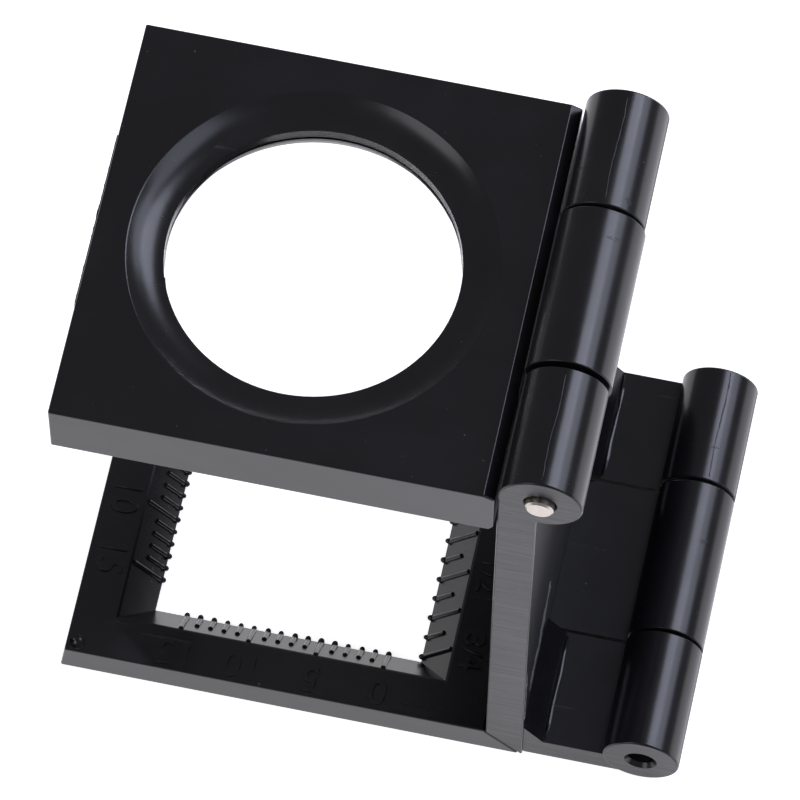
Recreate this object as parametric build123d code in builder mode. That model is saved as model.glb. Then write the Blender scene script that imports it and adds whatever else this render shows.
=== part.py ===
"""Folding linen tester: a base frame with a measuring window, an upright and a lens plate.

Millimetres, +Z up, +Y to the back. The origin is the centre of the measuring window on the
table plane, so the lens axis is the Z axis. The pose is the open one, both hinges on their stops.
"""
import math
import os

from build123d import *

os.makedirs("parts", exist_ok=True)

# Plates
depth = 31.0              # front to back, the same for the base and the upright
base_thick = 2.8
base_left = -15.4         # the base's left edge, and the top of its mitre
base_right = 15.55
side_draft = 0.35         # how far the base's left face flares out towards the table
dimple_inset, dimple_radius, dimple_depth = 0.8, 0.55, 0.28   # moulding mark near a corner
plate_gap = 0.1           # play between faces that close on each other
upright_thick = 2.75
edge_radius = 0.14        # rounding of the moulded plates' outside edges
overlap = 1.0             # how far cutters and joining blocks reach past a face

# Measuring window and its scales
window = 19.8
window_land = 0.2         # straight wall left at the foot of the bevels
bevel_run = 2.3
tick_radius = 0.19
tick_start = 0.2          # distance up the bevel from the window's edge to a tick's lower end
short_tick = 1.75
long_tick = 3.0
mm_pitch, mm_ticks, mm_long_every = 1.0, 16, 5
inch_pitch, inch_ticks, inch_long_every = 25.4 / 16, 13, 2

# Hinges: three knuckles on each, the middle one 12.2 mm long
middle_half = 6.1
lower_gap = 0.25          # side gaps of the lower hinge's middle knuckle
top_gap = 0.35
end_radius = 0.14         # rounding of the barrels' outer ends
middle_end_radius = 0.08
pin_chamfer = 0.15
pin_radius = 1.0
bore_play = 0.06          # radial play of the middle knuckle on its pin
mouth_radius = 1.2        # countersunk mouth of the outer bores
mouth_depth = 0.35
top_pin_proud = 0.5       # the top pin stands out at the front
top_pin_short = 0.6       # and stops inside its bore at the back
lower_pin_front, lower_pin_back = 1.2, 0.6    # how deep the lower pin lies in its bore

lower_axis_x, lower_axis_z, lower_radius = 27.15, 2.9, 2.8
leaf_bottom, leaf_top = 0.2, 2.4
leaf_setback = 0.2        # the feet stand back from the upright's front and back faces
root_run, root_rise = 1.45, 1.8     # sloping root between each foot and the plate
root_fillet = 0.45

inner_x = base_right + 2 * plate_gap
outer_x = inner_x + upright_thick
top_radius = 2.95
top_middle_radius = 3.1
top_axis_x = inner_x + top_radius
top_axis_z = 41.8
top_proud = 0.1           # the top knuckles' ends stand out from the upright's edge faces

# Lens plate
plate_thick = 5.0
plate_top = top_axis_z - 0.45
plate_bottom = plate_top - plate_thick
plate_left = -15.65
plate_right = inner_x - 2 * plate_gap
plate_front = -depth / 2 - 0.1
edge_bevel_run, edge_bevel_drop = 0.79, 0.38
foot_bevel_run, foot_bevel_height = 0.3, 0.5
root_half = 7.2           # the thicker root beside the middle knuckle
lens_axis_x = -0.38
gate_proud, gate_length, gate_height, gate_inset = 0.12, 13.4, 2.4, 0.5

# Lens and its seat
aperture_radius = 10.35
bowl_radius = 12.95
bowl_depth = 0.95
seat_depth = 1.8
seat_radius = 11.15
lens_radius = 11.1
lens_clear_radius = 10.25
lens_flange = 1.0
lens_curvature = 38.5
ring_inner_radius = 10.4
ring_height = 1.7

half = depth / 2
lens_axis = Axis((lens_axis_x, 0, 0), (0, 0, 1))
lens_plane = Plane((lens_axis_x, 0, 0), x_dir=(1, 0, 0), z_dir=(0, -1, 0))


def y_cylinder(x, z, radius, y_front, y_back, mode=Mode.ADD):
    """A cylinder along Y between two depths."""
    with Locations((x, (y_front + y_back) / 2, z)):
        return Cylinder(radius, y_back - y_front, rotation=(90, 0, 0), mode=mode)


def block(x_range, y_range, z_range, mode=Mode.ADD):
    """A box given by its limits along each axis."""
    centre = tuple((low + high) / 2 for low, high in (x_range, y_range, z_range))
    size = tuple(high - low for low, high in (x_range, y_range, z_range))
    with Locations(centre):
        return Box(*size, mode=mode)


def middle_knuckle(x, z, radius):
    """The middle knuckle of a hinge, its two ends slightly rounded."""
    with BuildPart(mode=Mode.PRIVATE) as knuckle:
        y_cylinder(x, z, radius, -middle_half, middle_half)
        fillet(knuckle.edges().filter_by(GeomType.CIRCLE), middle_end_radius)
    add(knuckle.part)


def middle_bore(x, z):
    """The bore through a middle knuckle, free on its pin."""
    bore_half = middle_half + overlap
    y_cylinder(x, z, pin_radius + bore_play, -bore_half, bore_half, Mode.SUBTRACT)


def countersink(x, z, y_face, outward):
    """The cone that opens a bore's mouth; outward is -1 at the front and 1 at the back."""
    tilt = -90 * outward
    with Locations((x, y_face - outward * mouth_depth / 2, z)):
        Cone(pin_radius, mouth_radius, mouth_depth, rotation=(tilt, 0, 0), mode=Mode.SUBTRACT)


def scale_ticks(side_angle, pitch, count, long_every):
    """Half-round ridges up the bevel on one side of the window, centred on that side.

    side_angle turns the front side (0) to the right (90), back (180) or left (270) side.
    """
    slope = math.atan2(base_thick - window_land, bevel_run)
    side = Rot(0, 0, side_angle)
    out = window / 2 + tick_start * math.cos(slope)
    up = window_land + tick_start * math.sin(slope)
    for index in range(count):
        along = (index - (count - 1) / 2) * pitch
        length = long_tick if index % long_every == 0 else short_tick
        with Locations(side * Pos(along, -out, up) * Rot(90 - math.degrees(slope), 0, 0)):
            Cylinder(tick_radius, length, align=(Align.CENTER, Align.CENTER, Align.MIN))


# Base frame: bevelled plate with the window, and the leaf and middle knuckle of the lower hinge
with BuildPart() as base_frame:
    with BuildSketch(Plane.XZ.offset(-half)):
        with BuildLine():
            Polyline(
                (base_left - side_draft, 0),
                (base_right + base_thick, 0),
                (base_right, base_thick),
                (base_left, base_thick),
                close=True,
            )
        make_face()
    extrude(amount=depth)
    fillet(base_frame.edges(), edge_radius)
    rim_width = window + 2 * bevel_run
    for low, low_width, high, high_width in (
        (window_land, window, base_thick, rim_width),
        (base_thick - edge_radius, rim_width - 2 * edge_radius, base_thick, rim_width + edge_radius),
    ):
        with BuildSketch(Plane.XY.offset(low)):
            Rectangle(low_width, low_width)
        with BuildSketch(Plane.XY.offset(high)):
            Rectangle(high_width, high_width)
        loft(ruled=True, mode=Mode.SUBTRACT)
    block((-window / 2, window / 2), (-window / 2, window / 2), (-overlap, base_thick), Mode.SUBTRACT)
    dimple_sphere = (dimple_radius**2 + dimple_depth**2) / (2 * dimple_depth)
    dimple_height = base_thick + dimple_sphere - dimple_depth
    with Locations((base_left + dimple_inset, -half + dimple_inset, dimple_height)):
        Sphere(dimple_sphere, mode=Mode.SUBTRACT)
    for side_angle in (0, 270):
        scale_ticks(side_angle, mm_pitch, mm_ticks, mm_long_every)
    for side_angle in (90, 180):
        scale_ticks(side_angle, inch_pitch, inch_ticks, inch_long_every)
    block((base_right - overlap, lower_axis_x), (-middle_half, middle_half), (leaf_bottom, leaf_top))
    middle_knuckle(lower_axis_x, lower_axis_z, lower_radius)
    middle_bore(lower_axis_x, lower_axis_z)
base_frame.part.label = "base_frame"

# Upright: the standing plate, two feet with the lower hinge's outer knuckles, and the top hinge's
# outer knuckles
lower_notch = middle_half + lower_gap
top_notch = middle_half + top_gap
foot_limits = ((-half + leaf_setback, -lower_notch), (lower_notch, half - leaf_setback))
lower_knuckles = ((-half, -lower_notch), (lower_notch, half))
top_knuckles = ((-half - top_proud, -top_notch), (top_notch, half + top_proud))
plate_walls = (inner_x - overlap, outer_x + overlap)
with BuildPart() as standing_plate:
    with BuildSketch(Plane.XZ.offset(-half)):
        with BuildLine():
            Polyline(
                (inner_x, base_thick),
                (outer_x, base_thick - upright_thick),
                (outer_x, top_axis_z),
                (inner_x, top_axis_z),
                close=True,
            )
        make_face()
    extrude(amount=depth)
    fillet(standing_plate.edges().filter_by(Axis.Z), edge_radius)

with BuildPart() as upright:
    for y_front, y_back in lower_knuckles:
        y_cylinder(lower_axis_x, lower_axis_z, lower_radius, y_front, y_back)
    for y_front, y_back in top_knuckles:
        y_cylinder(top_axis_x, top_axis_z, top_radius, y_front, y_back)
    ends = upright.edges().filter_by(GeomType.CIRCLE)
    fillet(ends.filter_by(lambda edge: abs(edge.center().Y) > top_notch), end_radius)
    fillet(ends.filter_by(lambda edge: abs(edge.center().Y) <= top_notch), middle_end_radius)
    add(standing_plate.part)
    for y_front, y_back in foot_limits:
        with BuildSketch(Plane.XZ.offset(-y_back)):
            with BuildLine():
                Polyline(
                    (outer_x - leaf_bottom, leaf_bottom),
                    (lower_axis_x, leaf_bottom),
                    (lower_axis_x, leaf_top),
                    (outer_x + root_run, leaf_top),
                    (outer_x, leaf_top + root_rise),
                    close=True,
                )
            make_face()
            foot_of_slope = vertices().sort_by_distance((outer_x + root_run, y_back, leaf_top))[0]
            fillet(foot_of_slope, root_fillet)
        extrude(amount=y_back - y_front)
    lower_cut = (-overlap, leaf_top + lower_gap)
    block(plate_walls, (-lower_notch, lower_notch), lower_cut, Mode.SUBTRACT)
    top_cut = (top_axis_z - top_middle_radius - 2 * plate_gap, top_axis_z + overlap)
    block(plate_walls, (-top_notch, top_notch), top_cut, Mode.SUBTRACT)
    for axis_x, axis_z in ((lower_axis_x, lower_axis_z), (top_axis_x, top_axis_z)):
        y_cylinder(axis_x, axis_z, pin_radius, -half - overlap, half + overlap, Mode.SUBTRACT)
    for outward in (-1, 1):
        countersink(lower_axis_x, lower_axis_z, outward * half, outward)
        countersink(top_axis_x, top_axis_z, outward * (half + top_proud), outward)
upright.part.label = "upright"

# Lens plate: thick square plate with the bowl, the lens seat and the top hinge's middle knuckle
with BuildPart() as lens_plate:
    with BuildSketch(Plane.XZ.offset(-half)):
        with BuildLine():
            Polyline(
                (plate_left, plate_top),
                (plate_right - edge_bevel_run, plate_top),
                (plate_right, plate_top - edge_bevel_drop),
                (plate_right, plate_bottom + foot_bevel_height),
                (plate_right - foot_bevel_run, plate_bottom),
                (plate_left + plate_gap, plate_bottom),
                close=True,
            )
        make_face()
    extrude(amount=half - plate_front)
    fillet(lens_plate.edges(), edge_radius)
    gate_walls = (plate_left - gate_proud, plate_left + overlap)
    gate_limits = (-gate_length / 2, gate_length / 2)
    gate_top = plate_top - gate_inset
    block(gate_walls, gate_limits, (gate_top - gate_height, gate_top))
    middle_knuckle(top_axis_x, top_axis_z, top_middle_radius)
    web_height = (top_axis_z - top_radius, plate_top - edge_bevel_drop)
    block((plate_right - overlap, plate_right + plate_gap), (-root_half, root_half), web_height)
    block((plate_right - overlap, top_axis_x), (-middle_half, middle_half), web_height)
    middle_bore(top_axis_x, top_axis_z)
    bowl_width = bowl_radius - aperture_radius
    bowl_arc = (bowl_width**2 + bowl_depth**2) / (2 * bowl_depth)
    bowl_sweep = math.degrees(math.asin(bowl_width / bowl_arc))
    with BuildSketch(lens_plane):
        with BuildLine():
            CenterArc((aperture_radius, plate_top - bowl_depth + bowl_arc), bowl_arc, -90, bowl_sweep)
            Polyline(
                (bowl_radius, plate_top),
                (0, plate_top),
                (0, plate_bottom),
                (seat_radius, plate_bottom),
                (seat_radius, plate_top - seat_depth),
                (aperture_radius, plate_top - seat_depth),
                (aperture_radius, plate_top - bowl_depth),
            )
        make_face()
    revolve(axis=lens_axis, mode=Mode.SUBTRACT)
    rims = lens_plate.edges().filter_by(GeomType.CIRCLE)
    rims = rims.filter_by(lambda edge: abs(edge.radius - bowl_radius) < 0.01)
    fillet(rims, edge_radius)
lens_plate.part.label = "lens_plate"

# Lens: biconvex, with a flat flange that seats under the plate's lip
flange_top = plate_top - seat_depth
flange_bottom = flange_top - lens_flange
lens_sag = lens_curvature - math.sqrt(lens_curvature**2 - lens_clear_radius**2)
lens_half_angle = math.degrees(math.asin(lens_clear_radius / lens_curvature))
with BuildPart() as lens:
    with BuildSketch(lens_plane):
        with BuildLine():
            upper_centre = (0, flange_top + lens_sag - lens_curvature)
            lower_centre = (0, flange_bottom - lens_sag + lens_curvature)
            CenterArc(upper_centre, lens_curvature, 90 - lens_half_angle, lens_half_angle)
            CenterArc(lower_centre, lens_curvature, -90, lens_half_angle)
            Polyline(
                (lens_clear_radius, flange_top),
                (lens_radius, flange_top),
                (lens_radius, flange_bottom),
                (lens_clear_radius, flange_bottom),
            )
            Line((0, flange_top + lens_sag), (0, flange_bottom - lens_sag))
        make_face()
    revolve(axis=lens_axis)
lens.part.label = "lens"

# Retaining ring: pressed in under the lens flange
with BuildPart() as lens_retaining_ring:
    with BuildSketch(Plane((lens_axis_x, 0, flange_bottom))):
        Circle(seat_radius)
        Circle(ring_inner_radius, mode=Mode.SUBTRACT)
    extrude(amount=-ring_height)
    chamfer(lens_retaining_ring.faces().sort_by(Axis.Z)[0].edges(), pin_chamfer)
lens_retaining_ring.part.label = "lens_retaining_ring"


def make_pin(label, axis_x, axis_z, y_front, y_back):
    """A plain hinge pin with chamfered ends, pressed into the outer knuckles."""
    with BuildPart() as pin:
        y_cylinder(axis_x, axis_z, pin_radius, y_front, y_back)
        chamfer(pin.edges().filter_by(GeomType.CIRCLE), pin_chamfer)
    pin.part.label = label
    return pin.part


top_pin_front = -half - top_proud - top_pin_proud
top_hinge_pin = make_pin("top_hinge_pin", top_axis_x, top_axis_z, top_pin_front, half - top_pin_short)
lower_hinge_pin = make_pin(
    "lower_hinge_pin", lower_axis_x, lower_axis_z, -half + lower_pin_front, half - lower_pin_back
)

for piece in (
    base_frame.part,
    upright.part,
    lens_plate.part,
    lens.part,
    lens_retaining_ring.part,
    top_hinge_pin,
    lower_hinge_pin,
):
    export_step(piece, f"parts/{piece.label}.step")
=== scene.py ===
"""Folding linen tester: glossy black plastic, clear lens and bright pins on a white table.

Lengths are metres, and MM turns millimetres into them. The frame is the CAD model's: +Z up, +Y to
the back, +X towards the hinges, the origin on the table under the centre of the measuring window.
"""
import math
import random

import bmesh
import bpy
from mathutils import Matrix, Vector


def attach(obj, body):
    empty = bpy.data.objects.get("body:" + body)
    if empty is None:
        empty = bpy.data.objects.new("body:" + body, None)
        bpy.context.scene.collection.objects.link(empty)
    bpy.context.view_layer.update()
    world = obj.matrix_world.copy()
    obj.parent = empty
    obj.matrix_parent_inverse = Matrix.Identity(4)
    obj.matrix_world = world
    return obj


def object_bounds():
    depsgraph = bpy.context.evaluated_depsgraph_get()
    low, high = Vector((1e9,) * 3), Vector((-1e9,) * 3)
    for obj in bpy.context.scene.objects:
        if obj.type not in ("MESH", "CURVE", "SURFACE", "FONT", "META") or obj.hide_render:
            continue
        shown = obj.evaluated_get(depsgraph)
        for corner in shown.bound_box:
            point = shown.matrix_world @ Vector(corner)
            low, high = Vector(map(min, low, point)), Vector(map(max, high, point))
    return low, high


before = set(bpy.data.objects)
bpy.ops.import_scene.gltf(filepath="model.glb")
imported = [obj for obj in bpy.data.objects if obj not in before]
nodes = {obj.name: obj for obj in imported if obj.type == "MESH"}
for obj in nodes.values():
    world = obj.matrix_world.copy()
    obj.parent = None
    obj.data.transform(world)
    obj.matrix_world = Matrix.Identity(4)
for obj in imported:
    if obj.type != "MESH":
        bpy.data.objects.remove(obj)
cad_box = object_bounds()
random.seed(7)
MM = 0.001

BASE_THICK = 2.8 * MM                       # top face of the base frame above the table
WINDOW_HALF = 9.9 * MM                      # half of the measuring window at the table
WINDOW_LAND = 0.2 * MM                      # straight wall at the foot of the window's bevels
TOP_AXIS = Vector((18.7, 0, 41.8)) * MM
LOWER_AXIS = Vector((27.15, 0, 2.9)) * MM
TOP_RADIUS, LOWER_RADIUS = 2.95 * MM, 2.8 * MM
TOP_NOTCH, LOWER_NOTCH = 6.45 * MM, 6.35 * MM    # where the outer knuckles begin
HALF_DEPTH = 15.5 * MM
PLATE_TOP = 41.35 * MM
PLATE_LEFT = -15.65 * MM
GATE_HALF, GATE_PROUD = 6.7 * MM, 0.12 * MM      # the gate's raised patch on the lens plate's left edge
GATE_TOP = PLATE_TOP - 0.5 * MM


# ---------------------------------------------------------------- small helpers
def link(obj):
    """Puts a new object in the scene."""
    bpy.context.scene.collection.objects.link(obj)
    return obj


def mesh_object(name, bm, smooth=True):
    """A linked object made from a bmesh."""
    data = bpy.data.meshes.new(name)
    bmesh.ops.recalc_face_normals(bm, faces=bm.faces)
    bm.to_mesh(data)
    bm.free()
    for polygon in data.polygons:
        polygon.use_smooth = smooth
    return link(bpy.data.objects.new(name, data))


class Shader:
    """A short way to write node trees: every method returns the socket or node it made."""

    def __init__(self, name):
        self.material = bpy.data.materials.new(name)
        self.material.use_nodes = True
        self.tree = self.material.node_tree
        self.bsdf = self.tree.nodes["Principled BSDF"]
        self.coords = self.tree.nodes.new("ShaderNodeTexCoord").outputs["Object"]

    def node(self, kind, inputs=(), **settings):
        """A node with its settings, its inputs linked to sockets or set to constants."""
        made = self.tree.nodes.new(kind)
        for key, value in settings.items():
            setattr(made, key, value)
        for key, value in dict(inputs).items():
            if isinstance(value, bpy.types.NodeSocket):
                self.tree.links.new(value, made.inputs[key])
            else:
                made.inputs[key].default_value = value
        return made

    def mapped(self, scale=(1, 1, 1), rotation=(0, 0, 0)):
        """The object's coordinates, turned and stretched."""
        inputs = {"Vector": self.coords, "Scale": scale, "Rotation": rotation}
        return self.node("ShaderNodeMapping", inputs).outputs["Vector"]

    def noise(self, scale, detail=4.0, roughness=0.55, vector=None, distortion=0.0):
        """Noise from 0 to 1, its scale in waves per metre."""
        inputs = {
            "Vector": vector or self.coords,
            "Scale": scale,
            "Detail": detail,
            "Roughness": roughness,
            "Distortion": distortion,
        }
        return self.node("ShaderNodeTexNoise", inputs).outputs["Fac"]

    def ramp(self, value, low, high, out_low=0.0, out_high=1.0):
        """A value's stretch from low to high, clamped and spread over out_low to out_high."""
        inputs = {"Value": value, "From Min": low, "From Max": high, "To Min": out_low, "To Max": out_high}
        return self.node("ShaderNodeMapRange", inputs).outputs["Result"]

    def math(self, operation, a, b=0.0):
        return self.node("ShaderNodeMath", {0: a, 1: b}, operation=operation).outputs["Value"]

    def add(self, *values):
        total = values[0]
        for value in values[1:]:
            total = self.math("ADD", total, value)
        return total

    def scaled(self, value, factor):
        return self.math("MULTIPLY", value, factor)

    def mix_color(self, factor, a, b):
        inputs = {"Factor": factor, "A": a, "B": b}
        return self.node("ShaderNodeMix", inputs, data_type="RGBA").outputs["Result"]

    def bump(self, height, distance, strength=1.0, normal=None):
        """The surface's normal, tilted by a height whose full range is distance metres."""
        inputs = {"Height": height, "Distance": distance, "Strength": strength}
        if normal is not None:
            inputs["Normal"] = normal
        return self.node("ShaderNodeBump", inputs).outputs["Normal"]

    def hairlines(self, scale, stretch, rotation, threshold):
        """Sparse fine scratches that run one way, as a mask from 0 to 1."""
        field = self.noise(scale, 3.0, 0.6, self.mapped((stretch, 1.0, 1.0), rotation), 0.25)
        return self.ramp(field, threshold, threshold + 0.03)

    def feed(self, key, socket):
        """Links a socket to the Principled shader's input."""
        self.tree.links.new(socket, self.bsdf.inputs[key])


# ---------------------------------------------------------------- materials
def moulded_surface(s):
    """The tint, roughness and normal of moulded black plastic: ripple, haze, dust and scratches."""
    s.bsdf.inputs["IOR"].default_value = 1.5
    ripple = s.noise(190, 2.0, 0.5)
    grain = s.noise(4200, 3.0)
    haze = s.ramp(s.noise(120, 4.0), 0.42, 0.72)
    lines_a = s.hairlines(1300, 0.03, (0.2, 0.1, 0.5), 0.69)
    lines_b = s.hairlines(1100, 0.04, (0.1, -0.3, 2.1), 0.70)
    scratches = s.math("MAXIMUM", lines_a, lines_b)
    dust = s.ramp(s.noise(2600, 2.0, 0.5), 0.77, 0.80)
    tint = s.mix_color(haze, (0.0070, 0.0068, 0.0080, 1), (0.0100, 0.0098, 0.0116, 1))
    tint = s.mix_color(s.scaled(dust, 0.5), tint, (0.16, 0.16, 0.17, 1))
    rough = s.add(s.ramp(haze, 0, 1, 0.20, 0.25), s.scaled(scratches, 0.12), s.scaled(grain, 0.03))
    height = s.add(ripple, s.scaled(grain, 0.025), s.scaled(scratches, -0.05))
    return tint, rough, s.bump(height, 0.03 * MM)


def finished(s, tint, rough, normal):
    """Feeds a surface to the shader and returns the material."""
    s.feed("Base Color", tint)
    s.feed("Roughness", rough)
    s.feed("Normal", normal)
    return s.material


def moulded_plastic():
    """Polished injection-moulded black plastic."""
    s = Shader("black_plastic")
    return finished(s, *moulded_surface(s))


def milled_plastic():
    """The same plastic, with cutter lines on faces that look along Y and a duller finish along X."""
    s = Shader("milled_black_plastic")
    tint, rough, normal = moulded_surface(s)
    object_normal = s.node("ShaderNodeTexCoord").outputs["Normal"]
    facing = s.node("ShaderNodeSeparateXYZ", {"Vector": object_normal}).outputs
    cut = s.ramp(s.math("ABSOLUTE", facing["Y"]), 0.9, 0.98)
    teeth = s.noise(2300, 4.0, 0.7, s.mapped((0.06, 1.0, 1.0)))
    bands = s.noise(520, 2.0, 0.5, s.mapped((0.04, 1.0, 1.0)))
    marks = s.math("MULTIPLY", s.add(s.scaled(teeth, 0.45), s.scaled(bands, 0.6)), cut)
    normal = s.bump(marks, 0.06 * MM, 1.0, normal)
    pale = s.scaled(cut, s.ramp(teeth, 0.4, 0.7, 0.0, 0.5))
    tint = s.mix_color(pale, tint, (0.035, 0.033, 0.038, 1))
    dull = s.ramp(s.math("ABSOLUTE", facing["X"]), 0.97, 0.995)
    rough = s.add(rough, s.scaled(cut, 0.14), s.scaled(dull, 0.22))
    s.feed("Specular IOR Level", s.ramp(dull, 0, 1, 0.5, 0.10))
    return finished(s, tint, rough, normal)


def lens_glass():
    """Clear moulded lens with a few dust specks."""
    s = Shader("lens_glass")
    s.bsdf.inputs["Transmission Weight"].default_value = 1.0
    s.bsdf.inputs["IOR"].default_value = 1.49
    dust = s.ramp(s.noise(1500, 5.0, 0.6), 0.72, 0.82)
    s.feed("Base Color", s.mix_color(dust, (0.99, 0.995, 0.99, 1), (0.75, 0.74, 0.72, 1)))
    s.feed("Roughness", s.scaled(dust, 0.15))
    return s.material


def pin_steel():
    """Drawn steel with a turned and slightly scuffed end."""
    s = Shader("pin_steel")
    s.bsdf.inputs["Metallic"].default_value = 1.0
    drawn = s.noise(2500, 3.0, 0.6, s.mapped((1.0, 0.05, 1.0)))
    end = s.noise(1400, 4.0, 0.6, s.mapped((1.0, 1.0, 0.12)))
    tint = s.mix_color(end, (0.47, 0.42, 0.37, 1), (0.60, 0.55, 0.50, 1))
    rough = s.ramp(drawn, 0.3, 0.7, 0.24, 0.40)
    return finished(s, tint, rough, s.bump(s.add(drawn, end), 0.01 * MM, 0.6))


def scuffed_plastic():
    """Black plastic rubbed rough and pale along a scrape."""
    s = Shader("scuffed_plastic")
    streaks = s.noise(2600, 4.0, 0.7, s.mapped((1.0, 0.15, 0.6)))
    tint = s.mix_color(streaks, (0.012, 0.012, 0.014, 1), (0.16, 0.16, 0.18, 1))
    rough = s.ramp(streaks, 0.3, 0.7, 0.45, 0.75)
    return finished(s, tint, rough, s.bump(streaks, 0.04 * MM))


def table_white():
    """Bright seamless paper with a barely visible fibre."""
    s = Shader("table_white")
    fibre = s.noise(1800, 4.0)
    s.feed("Base Color", s.mix_color(fibre, (0.88, 0.88, 0.88, 1), (0.92, 0.92, 0.92, 1)))
    s.bsdf.inputs["Roughness"].default_value = 0.8
    s.bsdf.inputs["Emission Color"].default_value = (1.0, 0.985, 1.0, 1)
    s.bsdf.inputs["Emission Strength"].default_value = 0.85
    return s.material


plastic = moulded_plastic()
milled = milled_plastic()
scuffed = scuffed_plastic()
steel = pin_steel()
FINISHES = {
    "base_frame": plastic,
    "upright": milled,
    "lens_plate": plastic,
    "lens_retaining_ring": plastic,
    "top_hinge_pin": steel,
    "lower_hinge_pin": steel,
    "lens": lens_glass(),
}
for name, material in FINISHES.items():
    nodes[name].data.materials.clear()
    nodes[name].data.materials.append(material)
nodes["lens"].visible_shadow = False


def piece(obj, body, material):
    """Gives a new piece its finish and its body."""
    obj.data.materials.clear()
    obj.data.materials.append(material)
    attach(obj, body)
    return obj


# ---------------------------------------------------------------- raised numerals on the base frame
NUMERAL_HEIGHT, INCH_NUMERAL_HEIGHT = 2.05 * MM, 1.6 * MM
FONT_SIZE_PER_HEIGHT = 1.35
NUMERAL_PROUD = 0.12 * MM
NUMERAL_BEVEL = 0.04 * MM
NUMERAL_SUNK = 0.02 * MM
FRONT_ROW_Y, BACK_ROW_Y = -14.0 * MM, 13.9 * MM
LEFT_ROW_X, RIGHT_ROW_X = -13.75 * MM, 13.5 * MM
MM_SCALE_START = 7.5 * MM                   # where the millimetre scales' zero stands
QUARTER_INCH = 6.35 * MM


def numeral(name, text, x, y, turn_deg, height):
    """Raised digits on the base's top face, as a mesh."""
    curve = bpy.data.curves.new(name, "FONT")
    curve.body = text
    curve.align_x, curve.align_y = "CENTER", "CENTER"
    curve.size = height * FONT_SIZE_PER_HEIGHT
    curve.extrude = NUMERAL_PROUD / 2
    curve.bevel_depth = NUMERAL_BEVEL
    curve.bevel_resolution = 2
    curve.resolution_u = 6
    curve.space_character = 1.08
    made = link(bpy.data.objects.new(name + "_curve", curve))
    bpy.context.view_layer.update()
    data = bpy.data.meshes.new_from_object(made.evaluated_get(bpy.context.evaluated_depsgraph_get()))
    bpy.data.objects.remove(made)
    data.name = name
    obj = link(bpy.data.objects.new(name, data))
    obj.location = (x, y, BASE_THICK + NUMERAL_PROUD / 2 - NUMERAL_SUNK)
    obj.rotation_euler.z = math.radians(turn_deg)
    return piece(obj, "base", plastic)


for value in (0, 5, 10, 15):
    along = MM_SCALE_START - value * MM
    numeral(f"front_scale_{value:02d}", str(value), along, FRONT_ROW_Y, 180, NUMERAL_HEIGHT)
    numeral(f"left_scale_{value:02d}", str(value), LEFT_ROW_X, along, -90, NUMERAL_HEIGHT)
for index, text in enumerate(("0", "1/4", "1/2", "3/4")):
    along = (1.5 - index) * QUARTER_INCH
    label = text.replace("/", "_")
    numeral(f"right_scale_{label}", text, RIGHT_ROW_X, along, -90, INCH_NUMERAL_HEIGHT)
    numeral(f"back_scale_{label}", text, along, BACK_ROW_Y, 0, INCH_NUMERAL_HEIGHT)


# ---------------------------------------------------------------- beads at the ridges' lower ends
MM_PITCH, MM_RIDGES = 1.0 * MM, 16
INCH_PITCH, INCH_RIDGES = 25.4 / 16 * MM, 13
BEAD_RADIUS = (0.20 * MM, 0.25 * MM)        # smallest and largest
BEAD_STRAY = 0.03 * MM
BEAD_OUT, BEAD_UP = 0.02 * MM, 0.16 * MM    # the beads' centres from the window's wall and its land
BEAD_STRETCH = (1.0, 1.25, 0.95, 1.0)


def scale_beads():
    """The small round beads where the ridges end at the window's edge."""
    bm = bmesh.new()
    stretch = Matrix.Diagonal(BEAD_STRETCH)
    mm_scale, inch_scale = (MM_PITCH, MM_RIDGES), (INCH_PITCH, INCH_RIDGES)
    for angle, (pitch, count) in ((0, mm_scale), (90, inch_scale), (180, inch_scale), (270, mm_scale)):
        turn = Matrix.Rotation(math.radians(angle), 4, "Z")
        for index in range(count):
            along = (index - (count - 1) / 2) * pitch
            size = random.uniform(*BEAD_RADIUS)
            along += random.uniform(-BEAD_STRAY, BEAD_STRAY)
            place = Matrix.Translation((along, -WINDOW_HALF - BEAD_OUT, WINDOW_LAND + BEAD_UP))
            bmesh.ops.create_icosphere(bm, subdivisions=3, radius=size, matrix=turn @ place @ stretch)
    return mesh_object("scale_ridge_beads", bm)


piece(scale_beads(), "base", plastic)


# ---------------------------------------------------------------- mould flash, seams and scrapes
def ridge_strip(name, path, width, height, wobble, outward):
    """A thin uneven ridge of flash that follows points on a surface; outward gives its normal."""
    sunk = height * 0.6
    crest_share = 0.4
    bm = bmesh.new()
    rows = []
    for index, point in enumerate(path):
        before = path[max(index - 1, 0)]
        after = path[min(index + 1, len(path) - 1)]
        along = (after - before).normalized()
        normal = outward(point).normalized()
        across = along.cross(normal).normalized()
        taper = min(1.0, index / 2, (len(path) - 1 - index) / 2)
        side = across * random.uniform(-wobble, wobble)
        half = width / 2 * random.uniform(0.6, 1.3)
        tall = height * random.uniform(0.4, 1.3) * taper
        foot = point - normal * sunk + side
        crest = foot + normal * (sunk + tall)
        rows.append([
            bm.verts.new(foot - across * half),
            bm.verts.new(crest - across * half * crest_share),
            bm.verts.new(crest + across * half * crest_share),
            bm.verts.new(foot + across * half),
        ])
    for first, second in zip(rows, rows[1:]):
        for k in range(4):
            bm.faces.new((first[k], first[(k + 1) % 4], second[(k + 1) % 4], second[k]))
    bm.faces.new(rows[0][::-1])
    bm.faces.new(rows[-1])
    return mesh_object(name, bm)


SEAM_STEP = 0.35 * MM
SEAM_WIDTH, SEAM_HEIGHT, SEAM_WOBBLE = 0.11 * MM, 0.022 * MM, 0.01 * MM
SEAM_INSET = 0.25 * MM                      # the seams stop short of the knuckles' rounded ends
SEAM_END = HALF_DEPTH - SEAM_INSET
TOP_SEAM_START, LOWER_SEAM_START = TOP_NOTCH + SEAM_INSET, LOWER_NOTCH + SEAM_INSET


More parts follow.
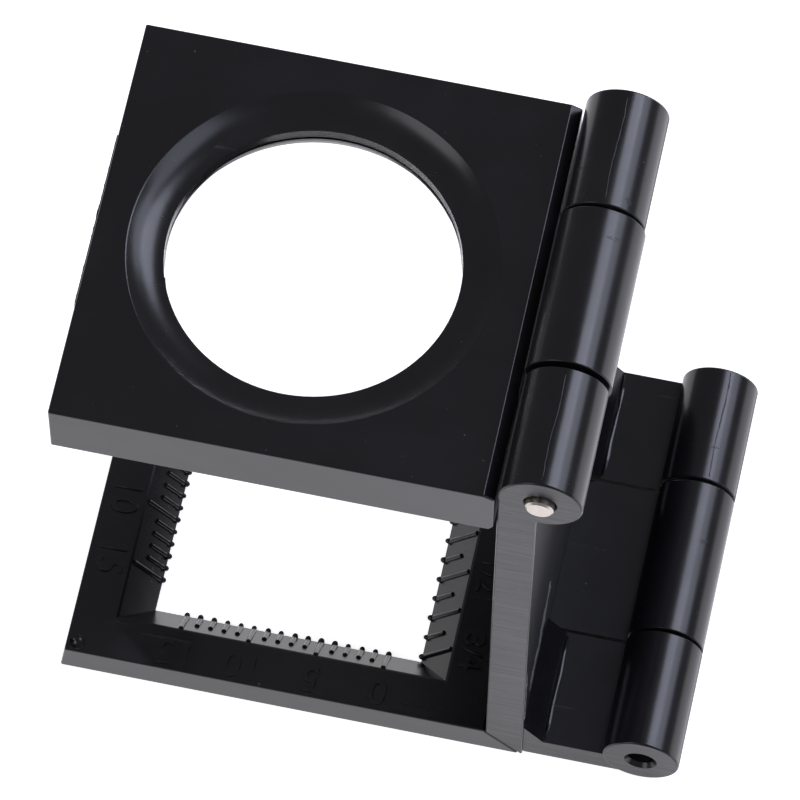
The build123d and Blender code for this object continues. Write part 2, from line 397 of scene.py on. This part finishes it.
def barrel_seam(name, body, axis_point, radius, angle_deg, y_from, y_to):
    """The parting line along a knuckle, at an angle from straight up towards +X."""
    steps = max(8, int((y_to - y_from) / SEAM_STEP))
    phase = radius * 900
    points = []
    for index in range(steps + 1):
        share = index / steps
        drift_deg = 1.2 * math.sin(7.0 * share + phase) + random.uniform(-0.4, 0.4)
        angle = math.radians(angle_deg + drift_deg)
        y = y_from + (y_to - y_from) * share
        points.append(axis_point + Vector((radius * math.sin(angle), y, radius * math.cos(angle))))

    def away_from_axis(point):
        return Vector((point.x - axis_point.x, 0, point.z - axis_point.z))

    strip = ridge_strip(name, points, SEAM_WIDTH, SEAM_HEIGHT, SEAM_WOBBLE, away_from_axis)
    return piece(strip, body, plastic)


barrel_seam("top_seam_back", "upright", TOP_AXIS, TOP_RADIUS, -1.0, TOP_SEAM_START, SEAM_END)
barrel_seam("top_seam_front", "upright", TOP_AXIS, TOP_RADIUS, -1.2, -SEAM_END, -TOP_SEAM_START)
barrel_seam("lower_seam_back", "upright", LOWER_AXIS, LOWER_RADIUS, 14.0, LOWER_SEAM_START, SEAM_END)


def between(points, steps):
    """Points in metres, spread evenly along the straight spans between a few in millimetres."""
    corners = [Vector(point) * MM for point in points]
    spread = []
    for start, end in zip(corners, corners[1:]):
        spread += [start.lerp(end, index / steps) for index in range(steps)]
    return spread + [corners[-1]]


def strip_mark(name, body, points, width, height, normal, material=plastic, steps=14):
    """A ridge of flash or a scrape along a few points, its points and sizes in millimetres."""
    path = between(points, steps)
    wobble = 0.15 * width * MM
    strip = ridge_strip(name, path, width * MM, height * MM, wobble, lambda point: Vector(normal))
    return piece(strip, body, material)


UP, RIGHT, UP_AND_RIGHT = (0, 0, 1), (1, 0, 0), (0.35, 0, 1)
OUTER_FACE = 18.5                           # the upright's outer face, in millimetres along X
WIDE_SCRAPE = ((OUTER_FACE, -6.2, 10.2), (OUTER_FACE, -9.8, 7.8), (OUTER_FACE, -13.6, 7.0))
THIN_SCRAPE = ((OUTER_FACE, -7.6, 8.9), (OUTER_FACE, -10.9, 7.0))
EDGE_BURR = ((OUTER_FACE, -15.25, 13.5), (OUTER_FACE, -15.25, 5.4))
strip_mark("scrape_wide", "upright", WIDE_SCRAPE, 3.0, 0.04, RIGHT, scuffed)
strip_mark("scrape_thin", "upright", THIN_SCRAPE, 1.2, 0.06, RIGHT, scuffed)
strip_mark("edge_burr", "upright", EDGE_BURR, 0.22, 0.07, RIGHT, steps=40)
for name, side in (("front", -1), ("back", 1)):
    foot_root = ((20.15, side * 15.1, 2.40), (20.15, side * 6.6, 2.40))
    strip_mark(f"foot_root_bead_{name}", "upright", foot_root, 0.45, 0.08, UP_AND_RIGHT, steps=6)


# Painted shade: the sheet built below is dark plastic set in the mitre's gap, where there is only shade.
MITRE_FOOT, MITRE_TOP = Vector((18.25, 0, 0.10)) * MM, Vector((15.65, 0, 2.70)) * MM
MITRE_SHADE_THICK, MITRE_SHADE_SETBACK = 0.10 * MM, 0.6 * MM


def mitre_web():
    """A thin sheet of painted shade on the base frame's mitred end, set back from its front and back
    faces: dark plastic that fills the joint's gap so the gap reads dark.
    """
    bm = bmesh.new()
    across = Vector((math.sqrt(0.5), 0, math.sqrt(0.5))) * MITRE_SHADE_THICK
    outline = (MITRE_FOOT - across, MITRE_TOP - across, MITRE_TOP, MITRE_FOOT)
    shade_sheet_half = HALF_DEPTH - MITRE_SHADE_SETBACK
    front, back = (
        [bm.verts.new(point + Vector((0, y, 0))) for point in outline] for y in (-shade_sheet_half, shade_sheet_half)
    )
    bm.faces.new(front)
    bm.faces.new(back)
    for k in range(4):
        bm.faces.new((front[k], front[(k + 1) % 4], back[(k + 1) % 4], back[k]))
    return mesh_object("mitre_web", bm, smooth=False)


piece(mitre_web(), "base", plastic)


DIMPLE_CENTRE = Vector((-14.6 * MM, -14.7 * MM, BASE_THICK))
DIMPLE_RADIUS = 0.55 * MM
LIP_HALF_SWEEP_DEG, LIP_STEPS = 100, 18
LIP_WIDTH, LIP_HEIGHT = 0.20 * MM, 0.13 * MM


def dimple_lip():
    """The raised lip around the right half of the moulding mark near the base's front left corner."""
    points = []
    for index in range(LIP_STEPS + 1):
        angle = math.radians(-LIP_HALF_SWEEP_DEG + index * 2 * LIP_HALF_SWEEP_DEG / LIP_STEPS)
        points.append(DIMPLE_CENTRE + Vector((math.cos(angle), math.sin(angle), 0)) * DIMPLE_RADIUS)
    return ridge_strip("dimple_lip", points, LIP_WIDTH, LIP_HEIGHT, 0.0, lambda point: Vector(UP))


piece(dimple_lip(), "base", plastic)


STUB_COUNT = 26
STUB_SIZES_MM = ((0.04, 0.12), (0.2, 0.55), (0.5, 2.0))    # smallest and largest along X, Y and Z
STUB_DROP, STUB_SUNK = 0.5 * MM, 0.03 * MM
STUB_LEAN, STUB_TURN = 0.3, 0.2             # the most a stub leans about X and turns about Z, in radians
STUB_BALL_RADIUS = 0.6                      # of the ball that a stub's size stretches


def gate_stubs():
    """Broken-off remains of the moulding gate on the lens plate's left edge."""
    bm = bmesh.new()
    for index in range(STUB_COUNT):
        y = -GATE_HALF + (index + 0.5) * 2 * GATE_HALF / STUB_COUNT
        size = Vector([random.uniform(*span) for span in STUB_SIZES_MM]) * MM
        z = GATE_TOP - size.z / 2 - random.uniform(0.0, STUB_DROP)
        x = PLATE_LEFT - GATE_PROUD - size.x / 2 + STUB_SUNK
        lean = Matrix.Rotation(random.uniform(-STUB_LEAN, STUB_LEAN), 4, "X")
        turn = Matrix.Rotation(random.uniform(-STUB_TURN, STUB_TURN), 4, "Z")
        stretch = Matrix.Diagonal((size.x, size.y, size.z, 1.0))
        matrix = Matrix.Translation((x, y, z)) @ lean @ turn @ stretch
        bmesh.ops.create_icosphere(bm, subdivisions=2, radius=STUB_BALL_RADIUS, matrix=matrix)
    return mesh_object("gate_remains", bm, smooth=False)


piece(gate_stubs(), "lens_plate", plastic)


# ---------------------------------------------------------------- camera, lights and table
CAMERA_TARGET = Vector((4.925, 5.827, 10.0)) * MM
CAMERA_AZIMUTH, CAMERA_ELEVATION, CAMERA_ROLL = 10.28, 63.43, 1.66
CAMERA_DISTANCE = 0.606


def look_from(target, azimuth, elevation, roll, distance):
    """The camera matrix for a view of target; azimuth 0 looks along +Y."""
    a, e, r = (math.radians(v) for v in (azimuth, elevation, roll))
    back = Vector((math.sin(a) * math.cos(e), -math.cos(a) * math.cos(e), math.sin(e)))
    right = Vector((math.cos(a), math.sin(a), 0))
    up = back.cross(right)
    x_axis = math.cos(r) * right + math.sin(r) * up
    y_axis = -math.sin(r) * right + math.cos(r) * up
    rotation = Matrix((x_axis, y_axis, back)).transposed().to_4x4()
    return Matrix.Translation(target + back * distance) @ rotation


camera_data = bpy.data.cameras.new("camera")
camera_data.lens = 375.5
camera_data.sensor_width = 36.0
camera_data.clip_start = 0.05
camera_data.clip_end = 20.0
camera = link(bpy.data.objects.new("camera", camera_data))
camera.matrix_world = look_from(
    CAMERA_TARGET, CAMERA_AZIMUTH, CAMERA_ELEVATION, CAMERA_ROLL, CAMERA_DISTANCE
)
bpy.context.scene.camera = camera


SOFTBOX_DISTANCE = 0.9
BLUISH, PALE_BLUE = (0.77, 0.81, 1.0), (0.93, 0.93, 1.0)


def softbox(name, azimuth, elevation, width, height, radiance, color):
    """An elliptical area light aimed at the object; azimuth is from +Y towards +X."""
    a, e = math.radians(azimuth), math.radians(elevation)
    direction = Vector((math.sin(a) * math.cos(e), math.cos(a) * math.cos(e), math.sin(e)))
    data = bpy.data.lights.new(name, "AREA")
    data.shape = "ELLIPSE"
    data.size, data.size_y = width, height
    area = math.pi / 4 * width * height
    data.energy = 4 * area * radiance
    data.color = color
    lamp = link(bpy.data.objects.new(name, data))
    place = direction * SOFTBOX_DISTANCE
    lamp.matrix_world = Matrix.Translation(place) @ place.to_track_quat("Z", "Y").to_matrix().to_4x4()


softbox("softbox_high", 39, 53, 0.37, 0.36, 4.3, BLUISH)
softbox("softbox_low", 55, 38, 0.40, 0.36, 2.4, BLUISH)
softbox("softbox_right", 93, 46, 0.55, 0.50, 1.6, BLUISH)
softbox("softbox_front_left", 229, 42, 0.56, 0.42, 1.7, PALE_BLUE)


def studio_world():
    """An even, dim, slightly cool room."""
    world = bpy.data.worlds.new("studio")
    world.use_nodes = True
    background = world.node_tree.nodes["Background"]
    background.inputs["Color"].default_value = (0.97, 0.95, 1.0, 1)
    background.inputs["Strength"].default_value = 0.215
    bpy.context.scene.world = world


studio_world()

TABLE_HALF = 1.5
TABLE_GAP = 0.02 * MM                       # keeps the table's face clear of the base's underside
floor_mesh = bmesh.new()
bmesh.ops.create_grid(floor_mesh, x_segments=1, y_segments=1, size=TABLE_HALF)
floor = mesh_object("table", floor_mesh)
floor.location.z = cad_box[0][2] - TABLE_GAP
floor.data.materials.append(table_white())

bpy.context.scene.view_settings.view_transform = "Standard"
